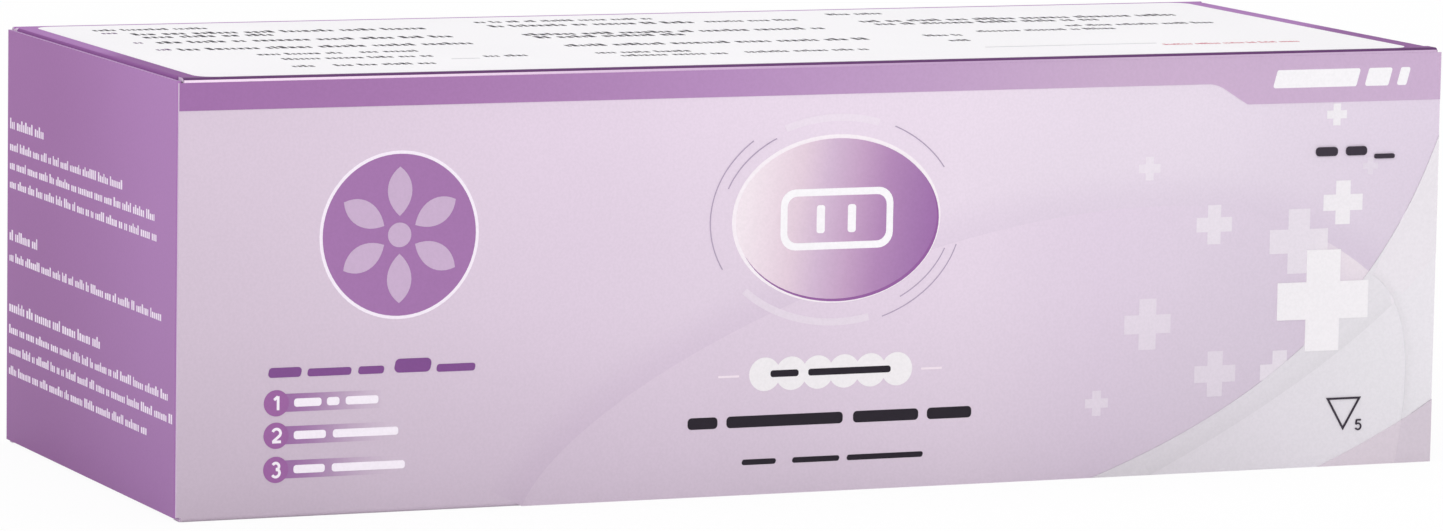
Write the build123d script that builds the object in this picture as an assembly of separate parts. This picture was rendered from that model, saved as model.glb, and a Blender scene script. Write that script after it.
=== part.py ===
from build123d import *
import os
from math import asin, cos, degrees, radians, sin

# Folding carton that holds a row of sealed foil pouches and a leaflet, closed and lying on its
# bottom panel. Millimetres. x runs along the tube, y from the front panel to the back panel and
# z up from the floor. The origin is on the floor under the middle of the closed carton.

# Board of the carton
board = 0.45
crease_inside = 0.15
play = 0.1

# Foil pouches, each standing on a long edge
pouch_count = 5
pouch_length = 158.0
pouch_height = 48.0
pouch_thickness = 11.6
pouch_gap = 0.6
seal_thickness = 0.4
end_seal = 9.0
side_seal = 5.0
end_slope = 14.0
side_slope = 10.0
hip_radius = 14.0
foot_radius = 9.0
pouch_corner = 1.5
tear_notch = 1.6

# Folded leaflet, standing behind the pouches
leaflet_length = 150.0
leaflet_height = 46.0
leaflet_layers = 6
leaflet_ply = 0.3
leaflet_ply_gap = 0.12
leaflet_front_gap = 0.7
leaflet_back_gap = 0.6

# Room left round the contents
end_room = 5.0
head_room = 4.6
front_clearance = 0.3

# Closure flaps: a panel across each end with a tuck that slides in behind the front panel
tuck_length = 16.0
tuck_side_gap = 0.6
tuck_taper = 1.2
tuck_corner = 8.0
swing_margin = 0.6
closure_edge_gap = 0.4
slit_length = 5.0
slit_width = 0.4

# Dust flaps, folded in from the ends of the top and bottom panels
dust_length = 22.0
dust_shoulder = 6.0
dust_step = 3.0
dust_taper = 5.0
dust_corner = 6.0
dust_front_relief = 2.2
dust_back_relief = 0.5

# Glue flap, folded in from the back panel's lower edge
glue_width = 14.0
glue_taper = 5.0
glue_end_gap = 2.0

# Sizes that follow from the ones above
crease_outside = crease_inside + board
pouch_pitch = pouch_thickness + pouch_gap
row_depth = pouch_count * pouch_pitch - pouch_gap
leaflet_pitch = leaflet_ply + leaflet_ply_gap
leaflet_depth = leaflet_layers * leaflet_pitch - leaflet_ply_gap
leaflet_room = leaflet_front_gap + leaflet_depth + leaflet_back_gap
tuck_lean = degrees(asin(tuck_length / (2 * (row_depth + leaflet_room)))) + swing_margin
tuck_reach = play + board + tuck_length * sin(radians(tuck_lean))
front_room = tuck_reach + front_clearance

length = pouch_length + 2 * (end_room + board + play + board)
depth = board + front_room + row_depth + leaflet_room + board
height = board + pouch_height + head_room + board

end_x = length / 2
front_y = -depth / 2
back_y = depth / 2
front_inner_y = front_y + board
back_inner_y = back_y - board
panel_end = end_x - board - play
mid_height = Plane.XY.offset(height / 2)


def both_ends(shape):
    """The shape at the left end and its mirror image at the right end."""
    return shape + mirror(shape, about=Plane.YZ)


def top_and_bottom(shape):
    """The shape at the top and its mirror image at the bottom."""
    return shape + mirror(shape, about=mid_height)


def tube():
    """Front, top, back and bottom panels. The back panel folds in over the bottom panel's edge."""
    outer = Rectangle(depth, height)
    outer = fillet([v for v in outer.vertices() if v.X < 0 or v.Y > 0], crease_outside)
    inner = Rectangle(depth - 2 * board, height - 2 * board)
    inner = fillet(inner.vertices(), crease_inside)
    seam_z = board - height / 2
    seam = Polygon(
        (back_y, seam_z),
        (back_y, seam_z + crease_outside),
        (back_y - crease_outside, seam_z),
        align=None,
    )
    ring = Plane.YZ * Pos(0, height / 2) * (outer - inner - seam)
    return extrude(ring, amount=panel_end, both=True)


def front_lip():
    """Front panel, whose cut ends reach past the other panels and cover the closure flaps' edges."""
    return Pos(0, front_y + board / 2, height / 2) * Box(length, board, height - 2 * crease_outside)


def glue_flap():
    """Flap that carries the long glued seam, inside on the bottom panel."""
    root = panel_end - board - glue_end_gap
    tip = root - glue_taper
    outline = Polygon(
        (-root, back_inner_y),
        (root, back_inner_y),
        (tip, back_inner_y - glue_width),
        (-tip, back_inner_y - glue_width),
        align=None,
    )
    return extrude(Plane.XY.offset(board) * outline, amount=board)


def dust_flap():
    """Upper left dust flap: straight shoulders, a step on the tuck's side and a rounded tip."""
    front = front_inner_y + dust_front_relief
    back = back_inner_y - dust_back_relief
    shoulder_z = height - board - dust_shoulder
    tip_z = height - board - dust_length
    outline = Polygon(
        (front, height),
        (front, shoulder_z),
        (front + dust_step, shoulder_z - dust_step),
        (front + dust_step + dust_taper, tip_z),
        (back - dust_taper, tip_z),
        (back, shoulder_z),
        (back, height),
        align=None,
    )
    tip = outline.vertices().sort_by(Axis.Y)[:2]
    return extrude(Plane.YZ.offset(-panel_end) * fillet(tip, dust_corner), amount=board)


def dust_crease():
    """What a rounded fold leaves off the square corner above the upper left dust flap."""
    front = front_inner_y + dust_front_relief
    back = back_inner_y - dust_back_relief
    square = Pos(-panel_end + crease_outside / 2, height - crease_outside / 2) * Rectangle(
        crease_outside, crease_outside
    )
    fold = Pos(-panel_end + crease_outside, height - crease_outside) * Circle(crease_outside)
    return extrude(Plane.XZ.offset(-back) * (square - fold), amount=back - front)


def carton_sleeve():
    """Glued tube with its four dust flaps, cut and folded from one piece of board."""
    panels = tube() + front_lip() + glue_flap()
    flaps = top_and_bottom(both_ends(dust_flap()))
    creases = top_and_bottom(both_ends(dust_crease()))
    return panels + flaps - creases


def closure_profile():
    """Hinge bead, closure panel, front crease and leaning tuck, as one bent strip seen from above."""
    hinge = Vector(-end_x + board / 2, back_y - board / 2)
    crease_centre = Vector(-end_x + crease_outside, front_inner_y + play + crease_outside)
    panel = Line(hinge, (hinge.X, crease_centre.Y))
    crease = CenterArc(crease_centre, crease_inside + board / 2, 180, 90 + tuck_lean)
    tuck = Line(crease @ 1, crease @ 1 + (crease % 1) * tuck_length)
    return make_face(offset(panel + crease + tuck, board / 2).edges())


def closure_outline():
    """Front view of the closure flap: panel edge on, then the tuck with tapered sides."""
    root_x = -end_x + board
    tip_x = root_x + tuck_length * cos(radians(tuck_lean))
    panel_half = height / 2 - closure_edge_gap
    tuck_half = height / 2 - board - tuck_side_gap
    panel = Pos(-end_x, 0) * Rectangle(2 * board, 2 * panel_half)
    tuck = Polygon(
        (root_x, -tuck_half),
        (tip_x, tuck_taper - tuck_half),
        (tip_x, tuck_half - tuck_taper),
        (root_x, tuck_half),
        align=None,
    )
    tuck = fillet(tuck.vertices().sort_by(Axis.X)[-2:], tuck_corner)
    slit = Pos(root_x + slit_width / 2, tuck_half) * Rectangle(slit_width, 2 * slit_length)
    slits = slit + mirror(slit, about=Plane.XZ)
    return panel + (tuck - slits)


def left_tuck_flap():
    """Closure flap of the left end, with slit locks at both ends of its front crease."""
    strip = extrude(closure_profile(), amount=height)
    outline = Plane.XZ * Pos(0, height / 2) * closure_outline()
    return strip & extrude(outline, amount=depth, both=True)


def bulge(span, seal, slope):
    """Slice of a pouch: thin seals at both ends of the span and a flat crown between two slopes."""
    half, crown, thin = span / 2, pouch_thickness / 2, seal_thickness / 2
    foot, hip = half - seal, half - seal - slope
    side = [(-half, thin), (-foot, thin), (-hip, crown), (hip, crown), (foot, thin), (half, thin)]
    slice_face = Polygon(*side, *[(x, -y) for x, y in reversed(side)], align=None)
    slice_face = fillet([v for v in slice_face.vertices() if abs(v.Y) > crown / 2], hip_radius)
    feet = [v for v in slice_face.vertices() if abs(abs(v.X) - foot) < seal_thickness / 2]
    return fillet(feet, foot_radius)


def foil_pouch():
    """Pillow pouch on its long edge, with sealed borders, rounded corners and tear notches."""
    upright = Plane(origin=(0, 0, pouch_height / 2), x_dir=(0, 0, 1), z_dir=(1, 0, 0))
    level = Plane.XY.offset(pouch_height / 2)
    section = extrude(upright * bulge(pouch_height, side_seal, side_slope), pouch_length / 2, both=True)
    plan = extrude(level * bulge(pouch_length, end_seal, end_slope), pouch_height / 2, both=True)
    outline = fillet(Rectangle(pouch_length, pouch_height).vertices(), pouch_corner)
    notch = Pos(pouch_length / 2 - end_seal / 2, pouch_height / 2) * RegularPolygon(tear_notch, 4)
    notches = notch + mirror(notch, about=Plane.XZ)
    border = Plane.XZ * Pos(0, pouch_height / 2) * (outline - notches)
    return section & plan & extrude(border, amount=pouch_thickness, both=True)


def pouch_row():
    """The pouches from front to back, on the bottom panel or on the glue flap that covers it."""
    pouch = foil_pouch()
    first_y = front_inner_y + front_room + pouch_thickness / 2
    row = []
    for place in range(pouch_count):
        y = first_y + place * pouch_pitch
        on_glue_flap = y + seal_thickness / 2 > back_inner_y - glue_width
        seat_z = 2 * board if on_glue_flap else board
        row.append(Pos(0, y, seat_z) * pouch)
    return row


def leaflet():
    """Sheet folded to and fro, with its folds at the top and bottom, standing on the glue flap."""
    fold_outer = (leaflet_pitch + leaflet_ply) / 2
    fold_inner = (leaflet_pitch - leaflet_ply) / 2
    straight = leaflet_height - 2 * fold_outer
    fold = Circle(fold_outer) - Circle(fold_inner)
    fold &= Pos(0, fold_outer) * Rectangle(2 * fold_outer, 2 * fold_outer)
    section = Sketch()
    for layer in range(leaflet_layers):
        y = layer * leaflet_pitch
        section += Pos(y, leaflet_height / 2) * Rectangle(leaflet_ply, straight)
        if layer < leaflet_layers - 1:
            upper = layer % 2 == 0
            fold_z = leaflet_height - fold_outer if upper else fold_outer
            turned = fold if upper else mirror(fold, about=Plane.XZ)
            section += Pos(y + leaflet_pitch / 2, fold_z) * turned
    first_y = back_inner_y - leaflet_back_gap - leaflet_depth + leaflet_ply / 2
    seat = Plane.YZ * Pos(first_y, 2 * board) * section
    return extrude(seat, amount=leaflet_length / 2, both=True)


left_flap = left_tuck_flap()
nodes = {
    "carton_sleeve": carton_sleeve(),
    "left_tuck_flap": left_flap,
    "right_tuck_flap": mirror(left_flap, about=Plane.YZ),
    "instruction_leaflet": leaflet(),
}
for number, pouch in enumerate(pouch_row(), start=1):
    nodes[f"foil_pouch_{number}"] = pouch

os.makedirs("parts", exist_ok=True)
for name, shape in nodes.items():
    export_step(shape, f"parts/{name}.step")
print(f"outside {length:.2f} x {depth:.2f} x {height:.2f} mm, tuck leans {tuck_lean:.2f} degrees")
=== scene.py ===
import random
from math import acos, atan2, cos, degrees, pi, radians, sin, tan

import bmesh
import bpy
from mathutils import Matrix, Vector
from mathutils.geometry import tessellate_polygon


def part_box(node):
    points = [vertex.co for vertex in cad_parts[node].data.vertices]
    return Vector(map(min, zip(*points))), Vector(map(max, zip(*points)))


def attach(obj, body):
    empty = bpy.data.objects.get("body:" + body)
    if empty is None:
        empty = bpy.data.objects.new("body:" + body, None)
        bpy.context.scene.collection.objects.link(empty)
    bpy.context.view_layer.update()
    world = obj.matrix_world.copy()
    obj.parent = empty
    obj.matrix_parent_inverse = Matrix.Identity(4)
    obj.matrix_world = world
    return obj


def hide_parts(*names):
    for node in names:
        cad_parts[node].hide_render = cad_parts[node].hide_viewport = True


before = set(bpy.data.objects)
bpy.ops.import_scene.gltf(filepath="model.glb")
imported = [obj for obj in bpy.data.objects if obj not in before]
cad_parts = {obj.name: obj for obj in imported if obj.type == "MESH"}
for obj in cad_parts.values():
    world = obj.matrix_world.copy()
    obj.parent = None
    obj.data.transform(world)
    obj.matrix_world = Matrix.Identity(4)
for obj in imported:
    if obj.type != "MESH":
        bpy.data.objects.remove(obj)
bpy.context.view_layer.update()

# A printed folding carton for foil-pouched tests. Every mark on it is a thin slab of ink that
# lies on a panel. Panel sizes below are in millimetres, and meshes are in metres.
MM = 0.001
LOW, HIGH = (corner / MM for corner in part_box("carton_sleeve"))
LENGTH, DEPTH, HEIGHT = HIGH - LOW
FRONT_Y, BACK_Y = LOW.y, HIGH.y
LEFT_X, RIGHT_X = LOW.x, HIGH.x
BOARD = 0.45
CREASE = 0.6
POUCHES = 5

# A slab of ink starts a little inside the board, and its top is one step up for each layer
INK_ROOT = 0.01
INK = 0.02

# Specular levels of the varnish, and of the top, which stays dark at a grazing angle
SATIN = 0.2
MATT = 0.03


def rgb(red, green, blue):
    """Linear colour from screen values of 0 to 255."""
    def linear(value):
        value /= 255
        return value / 12.92 if value <= 0.04045 else ((value + 0.055) / 1.055) ** 2.4
    return (linear(red), linear(green), linear(blue), 1.0)


PURPLE = rgb(142, 88, 151)
LILAC = rgb(222, 207, 224)
WHITE = rgb(244, 241, 244)
DARK = rgb(36, 30, 40)
SLOGAN = rgb(128, 78, 142)
PALE_PINK = rgb(246, 234, 249)
RED = rgb(200, 92, 112)
RAW_BOARD = rgb(226, 221, 214)
RAW_EDGE = rgb(214, 192, 218)
FLAP_EDGE = rgb(176, 132, 186)
FLAP_BACK = rgb(162, 108, 169)
FLAP_FRONT = rgb(176, 124, 186)
RIBBON = rgb(156, 110, 164)
# Painted highlight along the crease between the front and top panels
CREASE_HIGHLIGHT = rgb(248, 224, 246)
GLOW_TINT = rgb(240, 231, 236)

# Colours along a panel, each at its place between 0 and 1
TOP_BACKWARD = (
    (0.013, rgb(104, 66, 112)), (0.02, rgb(142, 88, 151)), (0.38, rgb(145, 90, 155)),
    (0.5, rgb(168, 116, 180)), (1.0, rgb(172, 118, 184)),
)
FIELD_ACROSS = (
    (0.0, rgb(216, 199, 216)), (0.3, rgb(228, 211, 229)), (0.6, rgb(236, 222, 237)),
    (0.8, rgb(231, 219, 233)), (1.0, rgb(226, 213, 230)),
)
# Painted shade on the front panel: a brightness factor that darkens it towards the bottom edge
FIELD_SHADE_UP = ((0.0, 0.775), (0.12, 0.83), (0.45, 0.93), (0.85, 1.0))
ARCH_ACROSS = (
    (0.26, rgb(255, 255, 255)), (0.62, rgb(254, 252, 254)), (0.72, rgb(251, 247, 252)),
    (0.85, rgb(250, 248, 251)),
)
SWEEP_ALONG = (
    (0.62, rgb(214, 209, 215)), (0.76, rgb(224, 219, 226)), (0.87, rgb(229, 226, 231)),
    (1.0, rgb(237, 233, 239)),
)
# Painted shade on the closure flaps: a brightness factor that darkens them towards the bottom edge
FLAP_SHADE_UP = ((0.0, 0.83), (0.5, 0.92), (1.0, 1.0))
BAND_ACROSS = (
    (0.0, rgb(160, 111, 168)), (0.21, rgb(168, 121, 175)), (0.41, rgb(180, 139, 188)),
    (0.57, rgb(192, 158, 198)), (0.73, rgb(203, 175, 206)), (1.0, rgb(204, 177, 208)),
)
EMBLEM_ACROSS = (
    (0.03, rgb(243, 231, 238)), (0.14, rgb(238, 222, 232)), (0.29, rgb(228, 207, 221)),
    (0.43, rgb(211, 185, 211)), (0.58, rgb(197, 162, 197)), (0.73, rgb(178, 136, 183)),
    (0.875, rgb(166, 122, 175)), (1.0, rgb(158, 110, 169)),
)

# Where soft changes of colour lie, in millimetres from the front panel's lower left corner. The painted
# highlight on the crease fades between two shares of its length, and the emblem's shade leans by its tilt.
GLOW, GLOW_RADIUS, GLOW_SHARE = (158.6, 27.0), 8.5, 0.75
SWEEP_REACH = 200
RIBBON_FADE = (13, 28)
CREASE_HIGHLIGHT_FADE = (0.1, 0.65)
EMBLEM_TILT = 0.14


class Shader:
    """A principled material, with short calls for the nodes that feed it."""

    def __init__(self, name, roughness=0.5, metallic=0.0, specular=SATIN):
        self.material = bpy.data.materials.new(name)
        self.material.use_nodes = True
        self.tree = self.material.node_tree
        self.bsdf = self.tree.nodes["Principled BSDF"]
        self.bsdf.inputs["Roughness"].default_value = roughness
        self.bsdf.inputs["Metallic"].default_value = metallic
        self.bsdf.inputs["Specular IOR Level"].default_value = specular
        self.where = self.tree.nodes.new("ShaderNodeTexCoord")
        self.x, self.y, self.z = self.parts(self.where.outputs["Object"])

    def feed(self, socket, value):
        """Links a socket to a node's output, or sets it to a value."""
        if isinstance(value, bpy.types.NodeSocket):
            self.tree.links.new(value, socket)
        else:
            socket.default_value = value

    def parts(self, vector):
        node = self.tree.nodes.new("ShaderNodeSeparateXYZ")
        self.feed(node.inputs[0], vector)
        return node.outputs

    def math(self, operation, *values):
        node = self.tree.nodes.new("ShaderNodeMath")
        node.operation = operation
        for socket, value in zip(node.inputs, values):
            self.feed(socket, value)
        return node.outputs[0]

    def between(self, value, start, end, low=0.0, high=1.0):
        """Value mapped from start..end to low..high, and held there outside."""
        node = self.tree.nodes.new("ShaderNodeMapRange")
        node.interpolation_type = "SMOOTHSTEP"
        for socket, number in zip(node.inputs, (value, start, end, low, high)):
            self.feed(socket, number)
        return node.outputs[0]

    def mix(self, factor, first, second, blend="MIX"):
        node = self.tree.nodes.new("ShaderNodeMix")
        node.data_type = "RGBA"
        node.blend_type = blend
        self.feed(node.inputs[0], factor)
        self.feed(node.inputs[6], first)
        self.feed(node.inputs[7], second)
        return node.outputs[2]

    def ramp(self, factor, stops):
        node = self.tree.nodes.new("ShaderNodeValToRGB")
        ramp = node.color_ramp
        while len(ramp.elements) < len(stops):
            ramp.elements.new(0.5)
        for element, (place, colour) in zip(ramp.elements, stops):
            element.position = place
            element.color = colour
        self.feed(node.inputs[0], factor)
        return node.outputs[0]

    def noise(self, feature_mm, detail):
        """Noise whose lumps are about feature_mm across."""
        node = self.tree.nodes.new("ShaderNodeTexNoise")
        self.feed(node.inputs["Vector"], self.where.outputs["Object"])
        node.inputs["Scale"].default_value = 1 / (feature_mm * MM)
        node.inputs["Detail"].default_value = detail
        return node.outputs[0]

    def finish(self, colour, grain=0.02, bump=0.12, grain_mm=0.35, sag_mm=28.0):
        """Colour with a slight mottle, on a skin with fine grain and broad sags."""
        fine = self.noise(grain_mm, 3.0)
        broad = self.noise(sag_mm, 1.0)
        trough, crest = 0.3, 0.7
        shade = self.math("ADD", self.between(fine, trough, crest, -grain, grain), 1.0)
        shade = self.math("ADD", shade, self.between(broad, trough, crest, -grain / 2, grain / 2))
        tint = self.tree.nodes.new("ShaderNodeCombineColor")
        for socket in tint.inputs:
            self.feed(socket, shade)
        self.feed(self.bsdf.inputs["Base Color"], self.mix(1.0, colour, tint.outputs[0], "MULTIPLY"))
        height = self.math("ADD", self.math("MULTIPLY", fine, 0.02), broad)
        node = self.tree.nodes.new("ShaderNodeBump")
        node.inputs["Strength"].default_value = bump
        node.inputs["Distance"].default_value = 0.4 * MM
        self.feed(node.inputs["Height"], height)
        self.feed(self.bsdf.inputs["Normal"], node.outputs[0])
        return self.material


# The front panel's colours, shared by every ink that fades into them

def across_front(shader):
    """0 at the front panel's left edge and 1 at its right edge."""
    return shader.math("DIVIDE", shader.math("SUBTRACT", shader.x, LEFT_X * MM), LENGTH * MM)


def up_front(shader):
    """0 at the front panel's lower edge and 1 at its upper edge."""
    return shader.math("DIVIDE", shader.z, HEIGHT * MM)


def front_field(shader):
    """Lilac that is palest right of the middle, times a painted shade that darkens it towards the bottom
    edge.
    """
    across = shader.ramp(across_front(shader), FIELD_ACROSS)
    # Painted shade, darker towards the bottom
    up = shader.ramp(up_front(shader), [(place, (k, k, k, 1.0)) for place, k in FIELD_SHADE_UP])
    return shader.mix(1.0, across, up, "MULTIPLY")


def under_arch(shader):
    """The field inside the large arch: duller towards the right, with a warm glow by the big cross."""
    tint = shader.ramp(across_front(shader), ARCH_ACROSS)
    field = shader.mix(1.0, front_field(shader), tint, "MULTIPLY")
    squares = []
    for axis, low, centre in ((shader.x, LEFT_X, GLOW[0]), (shader.z, 0.0, GLOW[1])):
        offset = shader.math("SUBTRACT", axis, (low + centre) * MM)
        squares.append(shader.math("MULTIPLY", offset, offset))
    distance = shader.math("SQRT", shader.math("ADD", *squares))
    glow = shader.between(distance, GLOW_RADIUS * MM, 0.0, 0.0, GLOW_SHARE)
    return shader.mix(glow, field, GLOW_TINT)


def sweep_tone(shader):
    """Grey that gets paler from the lower left to the upper right of the sweep."""
    along = shader.math("ADD", shader.math("SUBTRACT", shader.x, LEFT_X * MM), shader.z)
    return shader.ramp(shader.math("DIVIDE", along, SWEEP_REACH * MM), SWEEP_ALONG)


def band_tone(shader):
    """The sweep's grey in the band along its edge."""
    return shader.mix(1.0, sweep_tone(shader), rgb(252, 252, 252), "MULTIPLY")


def light_tone(shader):
    """Nearly white, where the sweep meets the panel's right edge."""
    return shader.mix(up_front(shader), rgb(231, 226, 232), rgb(239, 234, 240))


def soft_ink(name, base, tint):
    """Ink of a soft strip: the colour below it times a tint, which fades out across the strip."""
    shader = Shader(name)
    below = base(shader)
    strip = shader.tree.nodes.new("ShaderNodeAttribute")
    strip.attribute_name = "shade"
    fade = shader.between(strip.outputs["Fac"], 0.0, 1.0)
    return shader.finish(shader.mix(fade, below, shader.mix(1.0, below, tint, "MULTIPLY")))


def plain_ink(name, colour, specular=SATIN):
    shader = Shader(name, specular=specular)
    return shader.finish(colour)


def field_ink(name, veil, under=True):
    """White ink that veils the field: 0 leaves the field as it is and 1 hides it."""
    shader = Shader(name)
    base = under_arch(shader) if under else front_field(shader)
    return shader.finish(shader.mix(veil, base, WHITE))


def ribbon_ink(name):
    """Purple that fades into the field towards the right."""
    shader = Shader(name)
    fade = shader.between(shader.x, *((LEFT_X + u) * MM for u in RIBBON_FADE))
    return shader.finish(shader.mix(fade, RIBBON, front_field(shader)))


def band_ink(name):
    shader = Shader(name)
    return shader.finish(shader.ramp(across_front(shader), BAND_ACROSS))


def crease_highlight_ink(name):
    """Painted highlight, strong at the left and fading into the band towards the right."""
    shader = Shader(name)
    fade = shader.between(across_front(shader), *CREASE_HIGHLIGHT_FADE)
    band = shader.ramp(across_front(shader), BAND_ACROSS)
    return shader.finish(shader.mix(fade, CREASE_HIGHLIGHT, band))


def emblem_ink(name, centre, half_width):
    """From pale pink at the left to purple at the right, and a little darker towards the bottom."""
    shader = Shader(name)
    u = shader.math("SUBTRACT", shader.x, (LEFT_X + centre[0] - half_width) * MM)
    rise = shader.math("SUBTRACT", shader.z, centre[1] * MM)
    along = shader.math("SUBTRACT", u, shader.math("MULTIPLY", rise, EMBLEM_TILT))
    return shader.finish(shader.ramp(shader.math("DIVIDE", along, 2 * half_width * MM), EMBLEM_ACROSS))


PRINTED_SKIN = 0.25
FRONT_SKIN = 0.4
DUST_FLAP_INSET = 2
BLEED = 4.0


def sleeve_board():
    """Printed outside, with painted shade towards the bottom of the front panel, coated dust flaps, and raw
    board inside and on the cut edges.
    """
    shader = Shader("coated_board_sleeve")
    nx, ny, nz = shader.parts(shader.where.outputs["Normal"])
    side = shader.math("SUBTRACT", DEPTH / 2 * MM, shader.math("ABSOLUTE", shader.y))
    rise = shader.math("SUBTRACT", HEIGHT * MM, shader.z)
    skin = shader.math("MINIMUM", side, shader.math("MINIMUM", rise, shader.z))
    outer = shader.math("LESS_THAN", skin, PRINTED_SKIN * MM)
    end_on = shader.math("GREATER_THAN", shader.math("ABSOLUTE", nx), 0.5)
    away = shader.math("MULTIPLY", nx, shader.math("SIGN", shader.x))
    outward = shader.math("GREATER_THAN", away, 0.5)
    printed = shader.math("MULTIPLY", outer, shader.math("SUBTRACT", 1.0, end_on))
    upper = shader.math("GREATER_THAN", shader.z, (HEIGHT - CREASE) * MM)
    front = shader.math("LESS_THAN", shader.y, (FRONT_Y + FRONT_SKIN) * MM)
    sides = shader.mix(front, LILAC, front_field(shader))
    backward = shader.math("DIVIDE", shader.math("SUBTRACT", shader.y, FRONT_Y * MM), DEPTH * MM)
    outside = shader.mix(upper, sides, shader.ramp(backward, TOP_BACKWARD))
    shader.feed(shader.bsdf.inputs["Specular IOR Level"], shader.between(upper, 0.0, 1.0, SATIN, MATT))
    flap = shader.math("MULTIPLY", outward, shader.math("GREATER_THAN", side, DUST_FLAP_INSET * MM))
    bleed_line = shader.math("LESS_THAN", rise, BLEED * MM)
    coated = shader.mix(bleed_line, WHITE, PURPLE)
    raw_inside = shader.mix(end_on, RAW_BOARD, RAW_EDGE)
    inside = shader.mix(flap, raw_inside, coated)
    return shader.finish(shader.mix(printed, inside, outside))


FLAP_TURN_Y = 20


def flap_board(sign):
    """Closure flap's board: purple outside, round both creases, with painted shade that darkens it towards
    the bottom, and raw inside.
    """
    shader = Shader("coated_board_flap")
    nx, ny, nz = shader.parts(shader.where.outputs["Normal"])
    away = shader.math("MULTIPLY", nx, float(sign))
    panel = shader.math("GREATER_THAN", away, 0.3)
    frontward = shader.math("LESS_THAN", ny, -0.3)
    tuck = shader.math("MULTIPLY", frontward, shader.math("LESS_THAN", shader.y, 0.0))
    bead = shader.math("GREATER_THAN", shader.y, (BACK_Y - BOARD) * MM)
    hinge = shader.math("MULTIPLY", bead, shader.math("GREATER_THAN", ny, 0.2))
    printed = shader.math("MAXIMUM", panel, shader.math("MAXIMUM", tuck, hinge))
    toward_front = shader.between(shader.y, FLAP_TURN_Y * MM, FRONT_Y * MM)
    # Painted shade, darker towards the bottom of the flap
    rise = shader.ramp(up_front(shader), [(place, (k, k, k, 1.0)) for place, k in FLAP_SHADE_UP])
    colour = shader.mix(toward_front, FLAP_BACK, FLAP_FRONT)
    colour = shader.mix(1.0, colour, rise, "MULTIPLY")
    edge = shader.math("GREATER_THAN", shader.math("ABSOLUTE", nz), 0.5)
    raw = shader.mix(edge, RAW_BOARD, FLAP_EDGE)
    printed = shader.math("MULTIPLY", printed, shader.math("SUBTRACT", 1.0, edge))
    return shader.finish(shader.mix(printed, raw, colour))


def foil_material():
    shader = Shader("foil_laminate", roughness=0.42, metallic=0.5)
    return shader.finish(rgb(226, 228, 232), grain=0.03, bump=0.35, grain_mm=1.5)


def paper_material():
    shader = Shader("leaflet_paper", roughness=0.85)
    return shader.finish(rgb(240, 239, 234), grain=0.02, bump=0.2, grain_mm=0.3)


# Panels and the outlines that are printed on them

class Panel:
    """A flat side of the carton: u runs across it from its left edge, v up it and w out of it."""

    def __init__(self, origin, across, up):
        self.origin = Vector(origin)
        self.across = Vector(across)
        self.up = Vector(up)
        self.out = self.across.cross(self.up)

    def point(self, u, v, w):
        return (self.origin + self.across * u + self.up * v + self.out * w) * MM


FRONT = Panel((LEFT_X, FRONT_Y, 0), (1, 0, 0), (0, 0, 1))
TOP = Panel((LEFT_X, FRONT_Y, HEIGHT), (1, 0, 0), (0, 1, 0))
LEFT_END = Panel((LEFT_X, BACK_Y, 0), (0, -1, 0), (0, 0, 1))


def arc(centre, radius, start, end, steps=24):
    """Points on an arc between two angles in degrees."""
    angles = [radians(start + (end - start) * i / steps) for i in range(steps + 1)]
    return [(centre[0] + radius * cos(a), centre[1] + radius * sin(a)) for a in angles]


def disc(centre, radius, steps=72):
    return arc(centre, radius, 0, 360, steps)[:-1]


def oval(centre, half, grown=0.0, start=0, end=360, steps=72):
    """Points on an oval, or on the larger one that lies a given distance outside it."""
    across, up = half[0] + grown, half[1] + grown
    return [(centre[0] + across * u, centre[1] + up * v) for u, v in arc((0, 0), 1, start, end, steps)]


def oval_band(centre, half, grown, width, start, end, steps=28):
    outer = oval(centre, half, grown + width / 2, start, end, steps)
    return outer + oval(centre, half, grown - width / 2, end, start, steps)


def bezier(p0, p1, p2, p3, steps=24):
    points = []
    for i in range(steps + 1):
        t = i / steps
        weights = ((1 - t) ** 3, 3 * t * (1 - t) ** 2, 3 * t * t * (1 - t), t ** 3)
        points.append(tuple(sum(w * p[k] for w, p in zip(weights, (p0, p1, p2, p3))) for k in (0, 1)))
    return points


def rounded(corners, steps=6):
    """Outline through (u, v, radius) corners, each rounded to its radius."""
    points = []
    for i, (u, v, radius) in enumerate(corners):
        here = Vector((u, v))
        if radius == 0:
            points.append((u, v))
            continue
        before = (Vector(corners[i - 1][:2]) - here).normalized()
        after = (Vector(corners[(i + 1) % len(corners)][:2]) - here).normalized()
        half = before.angle(after) / 2
        centre = here + (before + after).normalized() * (radius / sin(half))
        first = here + before * (radius / tan(half)) - centre
        last = here + after * (radius / tan(half)) - centre
        start = degrees(atan2(first.y, first.x))
        turn = (degrees(atan2(last.y, last.x)) - start + 180) % 360 - 180
        points += arc(centre, radius, start, start + turn, steps)
    return points


def bar(u0, u1, v, height, slant=0.0, ends=0.3):
    """Bar with rounded ends that stands for a word."""
    radius = height * ends
    corners = [(u0, v), (u1, v), (u1 + slant * height, v + height), (u0 + slant * height, v + height)]
    return rounded([(u, w, radius) for u, w in corners], 4)


def cross(centre, size, arm=0.37):
    """Cross with equal arms."""
    long, short = size / 2, size * arm / 2
    quarter = [(long, -short), (long, short), (short, short), (short, long)]
    points = []
    for turn in range(4):
        c, s = round(cos(turn * pi / 2)), round(sin(turn * pi / 2))
        points += [(centre[0] + c * u - s * v, centre[1] + s * u + c * v) for u, v in quarter[1:]]
    return points


def scallops(first, last, v, radius, count):
    """Outline of a row of discs that overlap."""
    pitch = (last - first) / (count - 1)
    notch = degrees(acos(pitch / 2 / radius))
    points = []
    for i in range(count):
        start = 180 if i == 0 else 180 + notch
        end = 360 if i == count - 1 else 360 - notch
        points += arc((first + i * pitch, v), radius, start, end, 12)[:-1]
    for i in reversed(range(count)):
        start = 0 if i == count - 1 else notch
        end = 180 if i == 0 else 180 - notch
        points += arc((first + i * pitch, v), radius, start, end, 12)[:-1]
    return points


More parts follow.
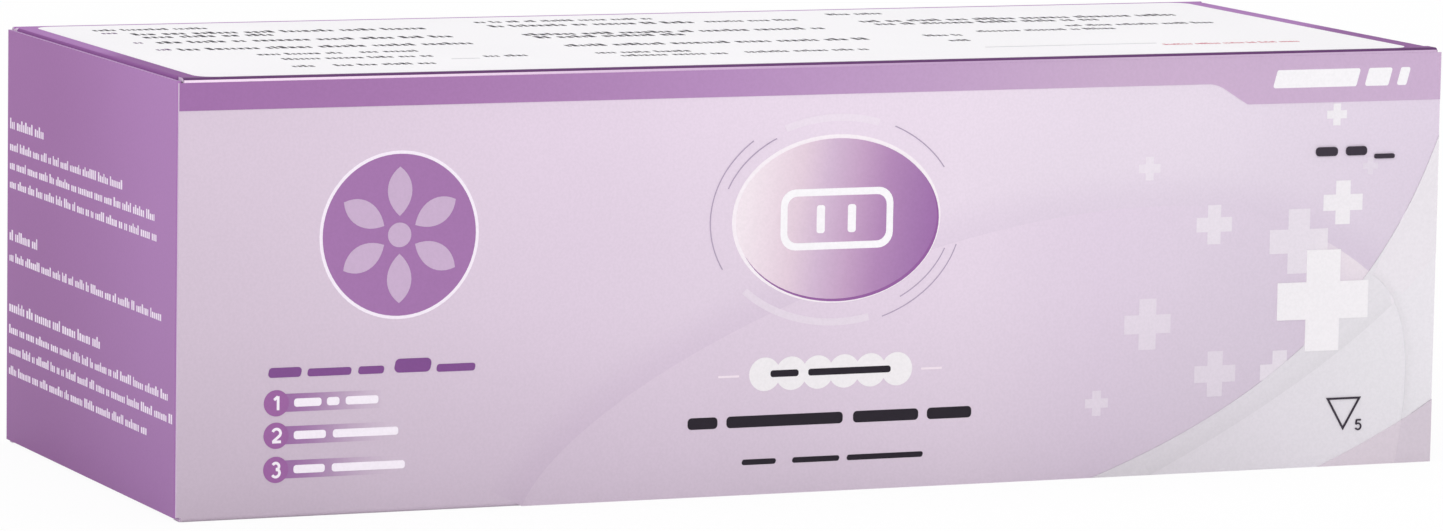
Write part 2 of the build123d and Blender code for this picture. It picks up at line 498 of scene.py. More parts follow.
def leaf(base, tip, width, steps=12):
    """Pointed leaf between two points."""
    base, tip = Vector(base), Vector(tip)
    along = tip - base
    aside = Vector((-along.y, along.x)).normalized() * width
    handles = (base + along * 0.3 + aside, base + along * 0.75 + aside)
    mirrored = (base + along * 0.75 - aside, base + along * 0.3 - aside)
    return bezier(base, *handles, tip, steps)[:-1] + bezier(tip, *mirrored, base, steps)[:-1]


def stroke(points, width):
    """Outline of a pen line through the points."""
    sides = ([], [])
    for i, point in enumerate(points):
        here = Vector(point)
        ahead = Vector(points[min(i + 1, len(points) - 1)]) - Vector(points[max(i - 1, 0)])
        normal = Vector((-ahead.y, ahead.x)).normalized() * width / 2
        sides[0].append(tuple(here + normal))
        sides[1].append(tuple(here - normal))
    return sides[1] + sides[0][::-1]


DIGITS = {
    "1": [[(0.12, 0.74), (0.40, 0.98)], [(0.42, 1.0), (0.42, 0.0)]],
    "2": [arc((0.32, 0.68), 0.30, 160, -38, 14) + [(0.04, 0.06)], [(0.0, 0.06), (0.66, 0.06)]],
    "3": [arc((0.28, 0.74), 0.25, 150, -85, 14), arc((0.28, 0.28), 0.29, 88, -150, 14)],
    "5": [
        [(0.60, 0.96), (0.10, 0.96)],
        [(0.12, 0.98), (0.08, 0.50)],
        arc((0.30, 0.31), 0.31, 132, -150, 16),
    ],
}


class Print:
    """Slabs of ink on one panel, which move with one body."""

    def __init__(self, name, panel, body="carton"):
        self.name, self.panel, self.body = name, panel, body
        self.mesh = bmesh.new()
        self.shade = self.mesh.verts.layers.float.new("shade")
        self.inks = []

    def use(self, ink):
        if ink not in self.inks:
            self.inks.append(ink)

    def strip(self, ink, line, width, layer):
        """Soft strip on the left of a line, fading from the line to the strip's far side."""
        self.use(ink)
        rows = []
        for i, point in enumerate(line):
            ahead = Vector(line[min(i + 1, len(line) - 1)]) - Vector(line[max(i - 1, 0)])
            far = Vector(point) + Vector((-ahead.y, ahead.x)).normalized() * width
            far.y = max(far.y, 0)
            row = [self.vertex(*place, w) for place in (point, far) for w in (-INK_ROOT, INK * layer)]
            for vertex, shade in zip(row, (1.0, 1.0, 0.0, 0.0)):
                vertex[self.shade] = shade
            rows.append([row[0], row[1], row[3], row[2]])
        faces = [self.mesh.faces.new(rows[0]), self.mesh.faces.new(rows[-1][::-1])]
        for before, after in zip(rows, rows[1:]):
            for i in range(4):
                j = (i + 1) % 4
                faces.append(self.mesh.faces.new((before[j], before[i], after[i], after[j])))
        for face in faces:
            face.material_index = self.inks.index(ink)

    def add(self, ink, outline, layer=1, holes=()):
        """One closed slab. A higher layer covers a lower one."""
        self.use(ink)
        loops = [wound(outline, 1)] + [wound(hole, -1) for hole in holes]
        lower = [[self.vertex(u, v, -INK_ROOT) for u, v in loop] for loop in loops]
        upper = [[self.vertex(u, v, INK * layer) for u, v in loop] for loop in loops]
        faces = [self.mesh.faces.new(upper[0]), self.mesh.faces.new(lower[0][::-1])] if not holes else []
        if holes:
            flat = [[Vector((u, v, 0)) for u, v in loop] for loop in loops]
            uppers, lowers = sum(upper, []), sum(lower, [])
            places = sum(loops, [])
            for triangle in tessellate_polygon(flat):
                if area([places[i] for i in triangle]) < 0:
                    triangle = triangle[::-1]
                faces.append(self.mesh.faces.new([uppers[i] for i in triangle]))
                faces.append(self.mesh.faces.new([lowers[i] for i in reversed(triangle)]))
        for low, high in zip(lower, upper):
            for i in range(len(low)):
                j = (i + 1) % len(low)
                faces.append(self.mesh.faces.new((low[i], low[j], high[j], high[i])))
        for face in faces:
            face.material_index = self.inks.index(ink)

    def figure(self, ink, name, corner, height, width, layer):
        """Plain figure in pen lines, each a little above the last so that none share a surface."""
        for i, line in enumerate(DIGITS[name]):
            places = [(corner[0] + u * height, corner[1] + v * height) for u, v in line]
            self.add(ink, stroke(places, width), layer + 0.2 * i)

    def vertex(self, u, v, w):
        return self.mesh.verts.new(self.panel.point(u, v, w))

    def done(self):
        bmesh.ops.recalc_face_normals(self.mesh, faces=self.mesh.faces)
        return piece(self.name, self.mesh, self.inks, self.body)


def area(points):
    """Signed area of an outline, positive when it runs anticlockwise."""
    pairs = zip(points, points[1:] + points[:1])
    return sum(a[0] * b[1] - b[0] * a[1] for a, b in pairs) / 2


def wound(outline, sign):
    outline = [tuple(p)[:2] for p in outline]
    return outline if area(outline) * sign > 0 else outline[::-1]


def piece(name, mesh_data, materials, body):
    """Turns a mesh in the making into a piece that rides on a body."""
    mesh = bpy.data.meshes.new(name)
    mesh_data.to_mesh(mesh)
    mesh_data.free()
    for material in materials:
        mesh.materials.append(material)
    thing = bpy.data.objects.new(name, mesh)
    bpy.context.scene.collection.objects.link(thing)
    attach(thing, body)
    return thing


def small_print(sheet, ink, u0, u1, v, size, dice, layer=2, pitch=1.0):
    """A line of word-like rows of ticks, too small to read. A pitch below 1 narrows them."""
    u, em = u0, size * pitch
    while u < u1 - em:
        for _ in range(dice.randint(2, 8)):
            width = em * dice.uniform(0.22, 0.42)
            tall = size * dice.choice((0.55, 0.6, 0.6, 0.85))
            if u + width > u1:
                break
            sheet.add(ink, [(u, v), (u + width, v), (u + width, v + tall), (u, v + tall)], layer)
            u += width + em * 0.2
        u += em * 0.42


# Front panel

BAND_LOW, BAND_DROP = 49.6, 46.9
BAND_TOP = HEIGHT - CREASE + 0.05
STEP_START, STEP_END = 138.0, 142.4
BAND_WORDS = ((145.9, 157.8), (159.0, 162.4), (163.6, 165.0))
BAND_WORD_LOW, BAND_WORD_HEIGHT = 48.85, 2.3


def print_header():
    """Purple band along the top of the front panel that steps down towards the right."""
    sheet = Print("print_header_band", FRONT)
    edge = [
        (0, BAND_TOP, 0), (0, BAND_LOW, 0), (STEP_START, BAND_LOW, 4.5), (STEP_END, BAND_DROP, 0.6),
        (LENGTH, BAND_DROP, 0), (LENGTH, BAND_TOP, 0),
    ]
    sheet.add(band_ink("ink_band"), rounded(edge, 10), layer=3)
    white = plain_ink("ink_band_white", rgb(248, 246, 249))
    for u0, u1 in BAND_WORDS:
        sheet.add(white, bar(u0, u1, BAND_WORD_LOW, BAND_WORD_HEIGHT, slant=0.28, ends=0.12), layer=4)
    sheet.done()


ARCH = (
    bezier((44.4, 0.0), (50.6, 14.0), (95.4, 34.3), (131.0, 34.3), 40)
    + bezier((131.0, 34.3), (143.0, 34.3), (153.0, 31.0), (160.9, 24.6), 16)[1:]
)
ARCH_END = 24.6
SWEEP = bezier((121.5, 0.0), (148.5, 9.4), (162.5, 22.5), (LENGTH, 42.3), 40)
SWEEP_BAND_END = 33
SWEEP_LINE = bezier((129.8, 0.0), (144.0, 6.6), (162.5, 17.0), (LENGTH, 27.0), 28)
SWEEP_LINE_RING = 22
RING = bezier((160.9, 24.6), (167.6, 20.5), (166.4, 8.5), (164.8, 0.0), 24)
RING_JOIN = 5
WEDGE = bezier((153.7, 0.0), (159.5, 2.4), (165.5, 5.2), (LENGTH, 8.1), 16)
WEDGE_AT_RING = (165.8, 5.7)
WEDGE_PAST_RING = 12
ARCH_SHADOW, LINE_SHADE, RING_SHADE = 6.0, 2.4, 1.3
LAYERS = {
    "arch": 1, "cross": 2, "sweep": 3, "band": 4, "line": 5, "light": 5, "ring": 6, "wedge": 7, "top": 9,
}


def print_sweeps():
    """The large arch and the pale grey sweep, with the soft lines that shade their edges."""
    sheet = Print("print_front_sweeps", FRONT)
    corner = [(LENGTH, 0.0)]
    arch_shade = soft_ink("ink_arch_shadow", front_field, rgb(249, 247, 250))
    sheet.strip(arch_shade, ARCH, ARCH_SHADOW, LAYERS["arch"] / 2)
    arch = Shader("ink_under_arch")
    sheet.add(arch.finish(under_arch(arch)), ARCH + [(LENGTH, ARCH_END)] + corner, LAYERS["arch"])
    sweep = Shader("ink_sweep")
    sheet.add(sweep.finish(sweep_tone(sweep)), SWEEP + corner, LAYERS["sweep"])
    band = Shader("ink_sweep_band")
    along_edge = SWEEP[:SWEEP_BAND_END] + SWEEP_LINE[SWEEP_LINE_RING::-1]
    sheet.add(band.finish(band_tone(band)), along_edge, LAYERS["band"])
    line_shade = soft_ink("ink_sweep_line", band_tone, rgb(251, 251, 251))
    sheet.strip(line_shade, SWEEP_LINE[:SWEEP_LINE_RING + 1], LINE_SHADE, LAYERS["line"])
    light = Shader("ink_sweep_light")
    above = SWEEP_LINE[SWEEP_LINE_RING:] + SWEEP[:SWEEP_BAND_END - 1:-1] + RING[:RING_JOIN]
    sheet.add(light.finish(light_tone(light)), above, LAYERS["light"])
    upper, lower = RING[:RING_JOIN], RING[RING_JOIN - 1:]
    for name, base, stretch in (("upper", light_tone, upper), ("lower", sweep_tone, lower)):
        ring_shade = soft_ink("ink_ring_" + name, base, rgb(248, 248, 248))
        sheet.strip(ring_shade, stretch, RING_SHADE, LAYERS["ring"])
    sheet.add(plain_ink("ink_wedge", rgb(217, 206, 216)), WEDGE + corner, LAYERS["wedge"])
    ring_end = [point for point in RING if point[1] < WEDGE_AT_RING[1]]
    beyond = ring_end[::-1] + [WEDGE_AT_RING] + WEDGE[WEDGE_PAST_RING:] + corner
    sheet.add(plain_ink("ink_wedge_shade", rgb(212, 201, 212)), beyond, LAYERS["wedge"] + 1)
    sheet.done()


CROSSES = (
    ("faint", 122.1, 9.5, 3.2), ("faint", 129.0, 19.3, 6.5), ("faint", 138.7, 12.6, 5.8),
    ("faint", 160.2, 38.6, 2.2), ("soft", 128.8, 39.1, 3.0), ("soft", 138.1, 31.7, 5.0),
    ("soft", 150.2, 29.2, 8.3), ("soft", 147.9, 12.5, 5.5), ("clear", 156.4, 34.0, 5.6),
    ("clear", 155.2, 45.3, 2.8), ("solid", 153.8, 21.5, 13.0),
)
VEILS = {"faint": 0.32, "soft": 0.48, "clear": 0.88, "solid": 0.97}


def print_crosses():
    """Plain crosses of several sizes, from faint to nearly white."""
    sheet = Print("print_front_crosses", FRONT)
    inks = {tone: field_ink("ink_cross_" + tone, veil) for tone, veil in VEILS.items()}
    for tone, u, v, size in CROSSES:
        sheet.add(inks[tone], cross((u, v), size), LAYERS["top" if tone == "solid" else "cross"])
    sheet.done()


BADGE = (28.1, 33.9)
BADGE_RING, BADGE_DISC, BADGE_HEART = 10.25, 9.85, 1.5
PETALS, PETAL_FROM, PETAL_TO, PETAL_WIDTH = 6, 2.3, 8.3, 2.1


def print_badge():
    """Round badge with a plain blossom."""
    sheet = Print("print_badge", FRONT)
    ring = plain_ink("ink_badge_ring", rgb(247, 238, 249))
    purple = plain_ink("ink_badge_disc", rgb(163, 116, 171))
    light = plain_ink("ink_badge_light", rgb(201, 175, 205))
    sheet.add(ring, disc(BADGE, BADGE_RING), layer=1)
    sheet.add(purple, disc(BADGE, BADGE_DISC), layer=2)
    for turn in range(PETALS):
        a = radians(90 + 360 / PETALS * turn)
        base, tip = [(BADGE[0] + r * cos(a), BADGE[1] + r * sin(a)) for r in (PETAL_FROM, PETAL_TO)]
        sheet.add(light, leaf(base, tip, PETAL_WIDTH), layer=3)
    sheet.add(light, disc(BADGE, BADGE_HEART, 32), layer=3)
    sheet.done()


EMBLEM = (85.8, 34.1)
EMBLEM_HALF = (13.6, 10.0)
EMBLEM_ARCS = ((2.0, 122, 160), (3.4, 132, 206), (2.1, 304, 340), (3.4, 292, 344), (2.8, 28, 62))
EMBLEM_HALOS = ((2.6, 70, 116), (2.9, 222, 286))
EMBLEM_RIM, ARC_WIDTH, HALO_WIDTH = 0.5, 0.14, 0.9
WINDOW_FRAME, WINDOW_HOLE = (7.6, 3.8, 2.0), (6.7, 2.9, 1.3)
WINDOW_LINES, LINE_WIDTH, LINE_HEIGHT = (-2.2, 2.0), 1.1, 3.5


def print_emblem():
    """Shaded oval with the outline of a result window, and thin arcs round it."""
    sheet = Print("print_emblem", FRONT)
    rim = plain_ink("ink_emblem_rim", rgb(248, 240, 246))
    shade = emblem_ink("ink_emblem", EMBLEM, EMBLEM_HALF[0])
    dark = plain_ink("ink_emblem_edge", rgb(150, 96, 160))
    line = plain_ink("ink_emblem_arcs", rgb(178, 162, 186))
    halo = field_ink("ink_emblem_halo", 0.22, under=False)
    white = plain_ink("ink_emblem_white", rgb(250, 248, 251))
    lower = (EMBLEM[0] + 0.22, EMBLEM[1] - 0.28)
    sheet.add(rim, oval(EMBLEM, EMBLEM_HALF, EMBLEM_RIM)[:-1], layer=2)
    sheet.add(dark, oval(lower, EMBLEM_HALF, 0.05)[:-1], layer=3)
    sheet.add(shade, oval(EMBLEM, EMBLEM_HALF)[:-1], layer=4)
    for grown, start, end in EMBLEM_ARCS:
        sheet.add(line, oval_band(EMBLEM, EMBLEM_HALF, grown, ARC_WIDTH, start, end), layer=2)
    for grown, start, end in EMBLEM_HALOS:
        sheet.add(halo, oval_band(EMBLEM, EMBLEM_HALF, grown, HALO_WIDTH, start, end), layer=2)
    u, v = EMBLEM
    frame_line, hole = [
        rounded([(u - a, v - b, r), (u + a, v - b, r), (u + a, v + b, r), (u - a, v + b, r)])
        for a, b, r in (WINDOW_FRAME, WINDOW_HOLE)
    ]
    sheet.add(white, frame_line, layer=5, holes=[hole])
    for place in WINDOW_LINES:
        left = u + place - LINE_WIDTH / 2
        line_bar = bar(left, left + LINE_WIDTH, v - LINE_HEIGHT / 2, LINE_HEIGHT, ends=0.1)
        sheet.add(white, line_bar, layer=5)
    sheet.done()


BULLETS = (("1", 14.0, 25.9), ("2", 10.05, 28.5), ("3", 5.9, 29.4))
BULLET_U, BULLET_RADIUS, RIBBON_HALF = 12.55, 1.6, 1.1
BULLET_FIGURE, BULLET_PEN = 1.7, 0.34
WORDS = {"1": ((14.8, 18.3), (19.0, 20.6), (21.4, 25.6)), "2": ((14.8, 18.9), (19.8, 28.2)),
         "3": ((14.8, 18.8), (19.7, 29.1))}
SLOGAN_WORDS = (
    (11.4, 15.6, 17.1, 1.2), (16.4, 22.0, 17.1, 0.95), (22.9, 26.2, 17.1, 0.95), (27.5, 32.2, 17.1, 1.7),
    (33.0, 38.0, 17.0, 0.95),
)


def print_bullets():
    """Three numbered points on ribbons that fade out, under a slogan's bars."""
    sheet = Print("print_bullets", FRONT)
    knob = plain_ink("ink_bullet", rgb(156, 100, 160))
    white = plain_ink("ink_bullet_white", rgb(247, 240, 249))
    ribbon = ribbon_ink("ink_ribbon")
    slogan = plain_ink("ink_slogan", SLOGAN)
    for figure, v, end in BULLETS:
        low, high = v - RIBBON_HALF, v + RIBBON_HALF
        sheet.add(ribbon, [(BULLET_U, low), (end, low), (end, high), (BULLET_U, high)], 1)
        sheet.add(knob, disc((BULLET_U, v), BULLET_RADIUS, 40), 2)
        corner = (BULLET_U - 0.5, v - BULLET_FIGURE / 2)
        sheet.figure(white, figure, corner, BULLET_FIGURE, BULLET_PEN, 3)
        for u0, u1 in WORDS[figure]:
            sheet.add(white, bar(u0, u1, v - 0.52, 1.0, ends=0.35), 3)
    for u0, u1, v, height in SLOGAN_WORDS:
        sheet.add(slogan, bar(u0, u1, v, height, slant=0.2, ends=0.35), 2)
    sheet.done()


LABEL = {"first": 76.45, "last": 94.35, "v": 15.0, "radius": 2.1, "count": 6}
LABEL_DASHES = ((70.2, 73.0), (97.7, 100.5))
LABEL_WORDS = ((77.2, 81.0), (82.3, 93.5))
TITLE_WORDS = ((66.2, 70.2), (71.4, 87.1), (88.5, 97.4), (98.6, 104.7))
SCRIPT_WORDS = ((73.4, 78.0), (80.2, 86.6), (87.6, 98.0))


def print_title():
    """Scalloped label with bars for its words, and the title's bars below it."""
    sheet = Print("print_title", FRONT)
    label = plain_ink("ink_label", rgb(241, 238, 240))
    dash = plain_ink("ink_dash", rgb(242, 229, 238))
    dark = plain_ink("ink_title", DARK)
    sheet.add(label, scallops(**LABEL), 2)
    for u0, u1 in LABEL_DASHES:
        sheet.add(dash, bar(u0, u1, 14.75, 0.26, ends=0.1), 2)
    for u0, u1 in LABEL_WORDS:
        sheet.add(dark, bar(u0, u1, 14.6, 0.85, ends=0.4), 3)
    for u0, u1 in TITLE_WORDS:
        sheet.add(dark, bar(u0, u1, 8.45, 1.45, ends=0.35), 2)
    for u0, u1 in SCRIPT_WORDS:
        sheet.add(dark, bar(u0, u1, 3.75, 0.7, slant=0.4, ends=0.4), 2)
    sheet.done()


SIGN_BARS = ((152.3, 155.4, 40.0, 1.15), (156.6, 159.6, 40.0, 1.15), (160.7, 163.6, 39.5, 0.6))
TRIANGLE = [(154.7, 8.85), (159.7, 8.85), (157.2, 4.6)]
TRIANGLE_INSETS = ((0.44, -0.25), (-0.44, -0.25), (0, 0.5))


def print_signs():
    """Plain marks at the right: a row of bars, and an outlined triangle with a figure."""
    sheet = Print("print_signs", FRONT)
    dark = plain_ink("ink_signs", rgb(58, 50, 62))
    top = LAYERS["top"]
    for u0, u1, v, height in SIGN_BARS:
        sheet.add(dark, bar(u0, u1, v, height, ends=0.4), top)
    inner = [(u + du, v + dv) for (u, v), (du, dv) in zip(TRIANGLE, TRIANGLE_INSETS)]
    sheet.add(dark, TRIANGLE, top, holes=[inner])
    sheet.figure(dark, "5", (159.0, 4.6), 1.3, 0.2, top)
    sheet.done()


# Angles in degrees, and the gap at each end, of the strip that carries the painted crease highlight
CREASE_FROM, CREASE_TO, CREASE_TURN = 5, 35, 6
CREASE_END_GAP = 0.6


def crease_highlight():
    """Painted highlight: a light strip along the rounded crease between the front and top panels."""
    mesh = bmesh.new()
    centre = Vector((0, FRONT_Y + CREASE, HEIGHT - CREASE))
    rings = []
    outward = range(CREASE_FROM, CREASE_TO + 1, CREASE_TURN)
    for x in (LEFT_X + CREASE_END_GAP, RIGHT_X - CREASE_END_GAP):
        ring = []
        for radius, angles in ((CREASE + INK, outward), (CREASE - INK, outward[::-1])):
            for a in angles:
                offset = Vector((0, -cos(radians(a)), sin(radians(a)))) * radius
                ring.append(mesh.verts.new((centre + offset + Vector((x, 0, 0))) * MM))
        rings.append(ring)
    left, right = rings
    for i in range(len(left)):
        j = (i + 1) % len(left)
        mesh.faces.new((left[i], left[j], right[j], right[i]))
    mesh.faces.new(left[::-1])
    mesh.faces.new(right)
    bmesh.ops.recalc_face_normals(mesh, faces=mesh.faces)
    piece("crease_highlight", mesh, [crease_highlight_ink("ink_crease_highlight")], "carton")


# Top panel

TOP_BORDER = {"left": 2.8, "right": 3.8, "front": 1.0, "back": 1.7}
TOP_CORNER = 2.5
TOP_SEED, TOP_PITCH = 5, 0.65
TOP_ROWS = (
    ("head", 2.0, ((8.6, 10.8, 55.2), (8.6, 10.8, 42.4), (8.5, 10.6, 33.2))),
    ("text", 3.0, (
        (12.0, 53.0, 52.6), (12.0, 30.0, 48.6), (11.5, 52.7, 41.6), (11.3, 52.6, 32.4),
        (60.5, 89.2, 53.0), (60.5, 102.7, 41.4), (60.8, 84.0, 37.6), (60.4, 102.6, 26.6),
        (110.8, 159.0, 48.8), (111.2, 144.1, 44.8),
    )),
    ("text", 2.3, (
        (8.7, 24.3, 59.0), (18.7, 30.2, 24.6), (32.2, 40.3, 24.8), (19.9, 39.4, 18.4), (18.0, 22.5, 9.8),
        (23.5, 36.5, 9.8), (45.4, 51.2, 16.4),
        (60.5, 87.2, 59.0), (90.6, 103.9, 53.4), (60.6, 74.0, 17.2), (62.4, 77.1, 13.2), (79.5, 96.8, 14.0),
        (110.6, 118.8, 59.2), (120.2, 140.3, 33.0), (135.3, 157.0, 37.8), (111.0, 116.8, 29.0),
        (111.3, 114.4, 22.2),
    )),
    ("red", 1.5, ((136.4, 156.7, 11.4),)),
)
TOP_RULES = ((112.1, 136.2, 13.6), (40.3, 44.0, 14.8))


def print_top():
    """White rounded panel in a purple border, with three columns of small print."""
    sheet = Print("print_top_panel", TOP)
    white = plain_ink("ink_top_white", rgb(250, 248, 251))
    u0, u1 = TOP_BORDER["left"], LENGTH - TOP_BORDER["right"]
    v0, v1 = TOP_BORDER["front"], DEPTH - TOP_BORDER["back"]
    corners = ((u0, v0), (u1, v0), (u1, v1), (u0, v1))
    sheet.add(white, rounded([(u, v, TOP_CORNER) for u, v in corners]), 1)
    sheet.done()
    text = Print("print_top_lines", TOP)
    inks = {
        "text": plain_ink("ink_top_text", rgb(44, 38, 50), MATT),
        "head": plain_ink("ink_top_heads", rgb(96, 52, 108), MATT),
        "red": plain_ink("ink_top_red", RED, MATT),
    }
    dice = random.Random(TOP_SEED)
    for ink, size, rows in TOP_ROWS:
        for u0, u1, v in rows:
            small_print(text, inks[ink], u0, u1, v, size, dice, pitch=TOP_PITCH)
    rule = plain_ink("ink_top_rule", rgb(206, 202, 208))
    for u0, u1, v in TOP_RULES:
        text.add(rule, bar(u0, u1, v, 0.5, ends=0.1), 2)
    text.done()


# Ends

END_SEED, END_LEFT = 8, 1.2
END_LINES = (
    (16.5, 40.6, 1.6), (47.5, 37.8, 1.35), (59.5, 35.4, 1.35), (60.0, 33.0, 1.35),
    (13.0, 26.3, 1.6), (63.5, 23.6, 1.35),
    (38.5, 17.1, 1.6), (66.4, 14.3, 1.35), (66.4, 11.7, 1.35), (57.5, 9.0, 1.35),
)


def print_left_end():
    """Pale small print on the left closure panel."""
    sheet = Print("print_left_end_lines", LEFT_END, "left_flap")
    pale = plain_ink("ink_end_text", PALE_PINK)
    dice = random.Random(END_SEED)
    for end, v, size in END_LINES:
        small_print(sheet, pale, END_LEFT, end, v, size, dice, 1)
    sheet.done()


# Contents

END_SEAL, END_SLOPE = 9.0, 20.0
SIDE_SEAL, SIDE_SLOPE = 5.0, 13.0
SEAL_HALF, SKIN_ROOM = 0.14, 0.15
RIB_HEIGHT, RIB_PITCH, RIB_REACH = 0.09, 1.3, 8.6
CRUMPLES, CRUMPLE, CRUMPLE_ROOM, SWELL_DEPTH = 9, 0.245, 0.12, 2.5


def pouch_depth(along, half, seal, slope, crown):
    """Half thickness of a pouch at a distance from its middle, along one direction."""
    inward = (half - seal - abs(along)) / slope
    inward = min(max(inward, 0.0), 1.0)
    return SEAL_HALF + (crown - SEAL_HALF) * inward * inward * (3 - 2 * inward)


def pouch_skin(x, z, side, half, waves):
    """Where one side of a pouch lies: crumpled where it swells, and ribbed on the end seals."""
    crown = half.y - SKIN_ROOM
    depth = min(
        pouch_depth(x, half.x, END_SEAL, END_SLOPE, crown),
        pouch_depth(z, half.z, SIDE_SEAL, SIDE_SLOPE, crown),
    )
    swell = min(1.0, (depth - SEAL_HALF) / SWELL_DEPTH)
    crumple = sum(a * sin(kx * x + kz * z * side + p) for a, kx, kz, p in waves)
    rib = RIB_HEIGHT * sin(2 * pi * abs(x) / RIB_PITCH) if abs(x) > half.x - RIB_REACH else 0.0
    y = side * (depth - CRUMPLE_ROOM * swell + CRUMPLE * crumple * swell) + rib
    return max(-half.y, min(half.y, y))


def spaced(half, dense_from, coarse, dense):
    """Places from -half to half, close together near the ends."""
    count = round(2 * dense_from / coarse)
    middle = [-dense_from + 2 * dense_from * i / count for i in range(count + 1)]
    steps = round((half - dense_from) / dense)
    ends = [dense_from + (half - dense_from) * (i + 1) / steps for i in range(steps)]
    return [-e for e in reversed(ends)] + middle + ends


def close_grids(mesh, front, back):
    """Faces over a front and a back grid of vertices, and round the rim between them."""
    last_i, last_j = len(front) - 1, len(front[0]) - 1
    for i in range(last_i):
        for j in range(last_j):
            mesh.faces.new((front[i][j], front[i + 1][j], front[i + 1][j + 1], front[i][j + 1]))
            mesh.faces.new((back[i][j], back[i][j + 1], back[i + 1][j + 1], back[i + 1][j]))
    rim = [(i, 0) for i in range(last_i)] + [(last_i, j) for j in range(last_j)]
    rim += [(i, last_j) for i in range(last_i, 0, -1)] + [(0, j) for j in range(last_j, 0, -1)]
    for (i, j), (k, l) in zip(rim, rim[1:] + rim[:1]):
        mesh.faces.new((front[i][j], back[i][j], back[k][l], front[k][l]))


def foil_pouch(number, material):
    """Crumpled foil pouch in the space of its node, with ribbed end seals."""
    node = f"foil_pouch_{number}"
    low, high = (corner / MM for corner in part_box(node))
    middle, half = (low + high) / 2, (high - low) / 2
    dice = random.Random(number)
    waves = [
        (dice.uniform(0.05, 0.16), dice.uniform(0.2, 0.75), dice.uniform(0.1, 0.5), dice.uniform(0, 6.3))
        for _ in range(CRUMPLES)
    ]
    xs = spaced(half.x, half.x - END_SEAL - 0.5, 1.9, 0.32)
    zs = spaced(half.z, half.z - SIDE_SEAL - 0.5, 1.6, 0.9)
    mesh = bmesh.new()
    grids = []
    for side in (-1, 1):
        places = [[Vector((x, pouch_skin(x, z, side, half, waves), z)) for z in zs] for x in xs]
        grids.append([[mesh.verts.new((middle + place) * MM) for place in column] for column in places])
    close_grids(mesh, *grids)
    bmesh.ops.recalc_face_normals(mesh, faces=mesh.faces)
    pouch = piece(f"foil_pouch_skin_{number}", mesh, [material], "carton")
    for polygon in pouch.data.polygons:
        polygon.use_smooth = True
    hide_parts(node)


# Stage

CAMERA_AZIMUTH, CAMERA_ELEVATION, CAMERA_ROLL = -23.07, 7.16, 0.97
CAMERA_AIM = Vector((-0.0238, -0.0556, 0.0317))
CAMERA_DISTANCE = 0.868
CAMERA_LENS = 180.8
LAMP_AIM = Vector((0, 0, 0.03))
LAMPS = (
    ("key", (-0.35, -1.1, 0.75), (0.9, 0.7), 5.0),
    ("side", (-1.1, -0.2, 0.5), (0.7, 0.6), 1.6),
    ("top", (0.1, 0.2, 1.2), (1.0, 0.8), 2.2),
    ("back", (0.3, 1.1, 0.6), (0.9, 0.7), 1.3),
    ("right", (1.1, 0.1, 0.5), (0.7, 0.6), 1.6),
)
WORLD_LIGHT, WORLD_SEEN = 0.6, 1.0
FLOOR_HALF, FLOOR_WHITE = 3, 0.93


def camera():
    """Camera at the photograph's viewing angle."""
    a, e, r = (radians(d) for d in (CAMERA_AZIMUTH, CAMERA_ELEVATION, CAMERA_ROLL))
    back = Vector((sin(a) * cos(e), -cos(a) * cos(e), sin(e)))
    level = Vector((cos(a), sin(a), 0))
    rise = back.cross(level)
    right = level * cos(r) + rise * sin(r)
    up = rise * cos(r) - level * sin(r)
    data = bpy.data.cameras.new("camera")
    data.lens = CAMERA_LENS
    data.sensor_width = 36
    thing = bpy.data.objects.new("camera", data)
    turn = Matrix((right, up, back)).transposed()
    thing.matrix_world = Matrix.Translation(CAMERA_AIM + back * CAMERA_DISTANCE) @ turn.to_4x4()
    bpy.context.scene.collection.objects.link(thing)
    bpy.context.scene.camera = thing


def lamp(name, place, size, power):
    """Soft rectangular lamp that points at the carton."""
    data = bpy.data.lights.new(name, "AREA")
    data.shape = "RECTANGLE"
    data.size, data.size_y = size
    data.energy = power
    thing = bpy.data.objects.new(name, data)
    thing.location = place
    thing.rotation_mode = "QUATERNION"
    thing.rotation_quaternion = (LAMP_AIM - Vector(place)).to_track_quat("-Z", "Y")
    bpy.context.scene.collection.objects.link(thing)


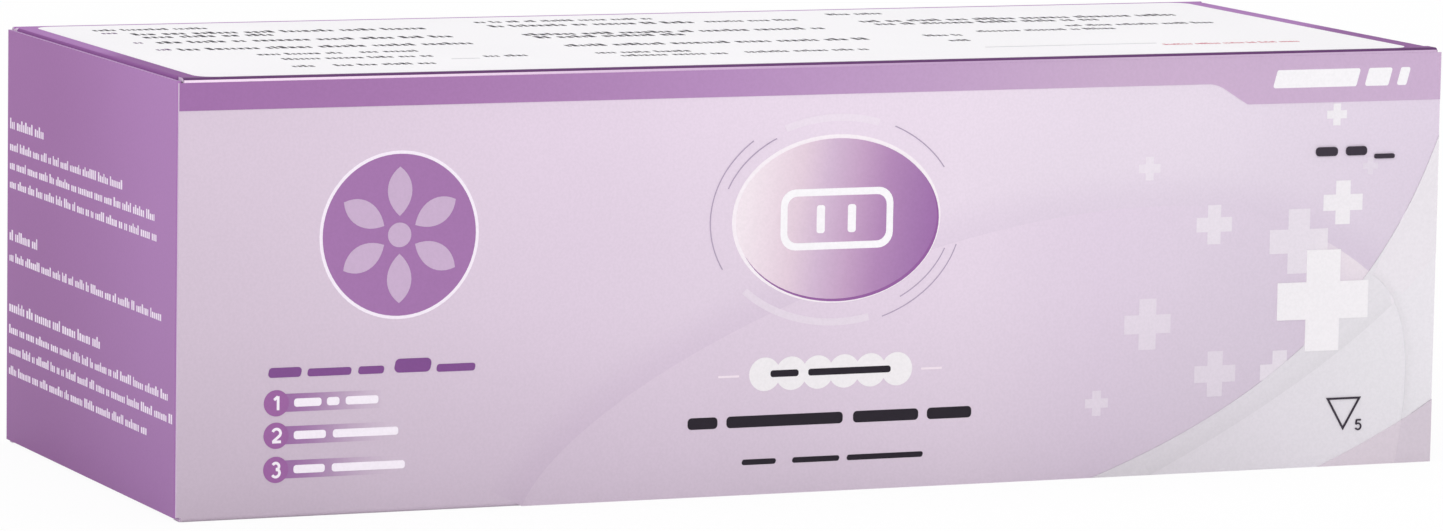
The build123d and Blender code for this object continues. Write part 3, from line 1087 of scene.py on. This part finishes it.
def lights():
    """The lamps, and a white world that lights less than it shows."""
    for setting in LAMPS:
        lamp(*setting)
    world = bpy.data.worlds.new("studio")
    world.use_nodes = True
    bpy.context.scene.world = world
    tree = world.node_tree
    background = tree.nodes["Background"]
    background.inputs["Color"].default_value = (1, 1, 1, 1)
    path = tree.nodes.new("ShaderNodeLightPath")
    seen = tree.nodes.new("ShaderNodeMapRange")
    tree.links.new(path.outputs["Is Camera Ray"], seen.inputs[0])
    seen.inputs[3].default_value = WORLD_LIGHT
    seen.inputs[4].default_value = WORLD_SEEN
    tree.links.new(seen.outputs[0], background.inputs["Strength"])


def floor():
    """White floor that keeps the carton's shadow."""
    mesh = bmesh.new()
    corners = ((-1, -1), (1, -1), (1, 1), (-1, 1))
    mesh.faces.new([mesh.verts.new((x * FLOOR_HALF, y * FLOOR_HALF, 0)) for x, y in corners])
    data = bpy.data.meshes.new("floor")
    mesh.to_mesh(data)
    mesh.free()
    material = bpy.data.materials.new("floor_white")
    material.use_nodes = True
    tree = material.node_tree
    bsdf = tree.nodes["Principled BSDF"]
    bsdf.inputs["Base Color"].default_value = (1, 1, 1, 1)
    bsdf.inputs["Roughness"].default_value = 0.9
    glow = tree.nodes.new("ShaderNodeEmission")
    path = tree.nodes.new("ShaderNodeLightPath")
    share = tree.nodes.new("ShaderNodeMath")
    share.operation = "MULTIPLY"
    tree.links.new(path.outputs["Is Camera Ray"], share.inputs[0])
    share.inputs[1].default_value = FLOOR_WHITE
    blend = tree.nodes.new("ShaderNodeMixShader")
    tree.links.new(share.outputs[0], blend.inputs[0])
    tree.links.new(bsdf.outputs[0], blend.inputs[1])
    tree.links.new(glow.outputs[0], blend.inputs[2])
    tree.links.new(blend.outputs[0], tree.nodes["Material Output"].inputs[0])
    data.materials.append(material)
    thing = bpy.data.objects.new("floor", data)
    bpy.context.scene.collection.objects.link(thing)


def dress(node, material):
    """Gives a carried-over node its own material."""
    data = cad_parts[node].data
    data.materials.clear()
    data.materials.append(material)


camera()
lights()
floor()
dress("carton_sleeve", sleeve_board())
dress("left_tuck_flap", flap_board(-1))
dress("right_tuck_flap", flap_board(1))
dress("instruction_leaflet", paper_material())
print_header()
print_sweeps()
print_crosses()
print_badge()
print_emblem()
print_bullets()
print_title()
print_signs()
crease_highlight()
print_top()
print_left_end()
foil = foil_material()
for number in range(1, POUCHES + 1):
    foil_pouch(number, foil)

bpy.context.scene.view_settings.view_transform = "Standard"
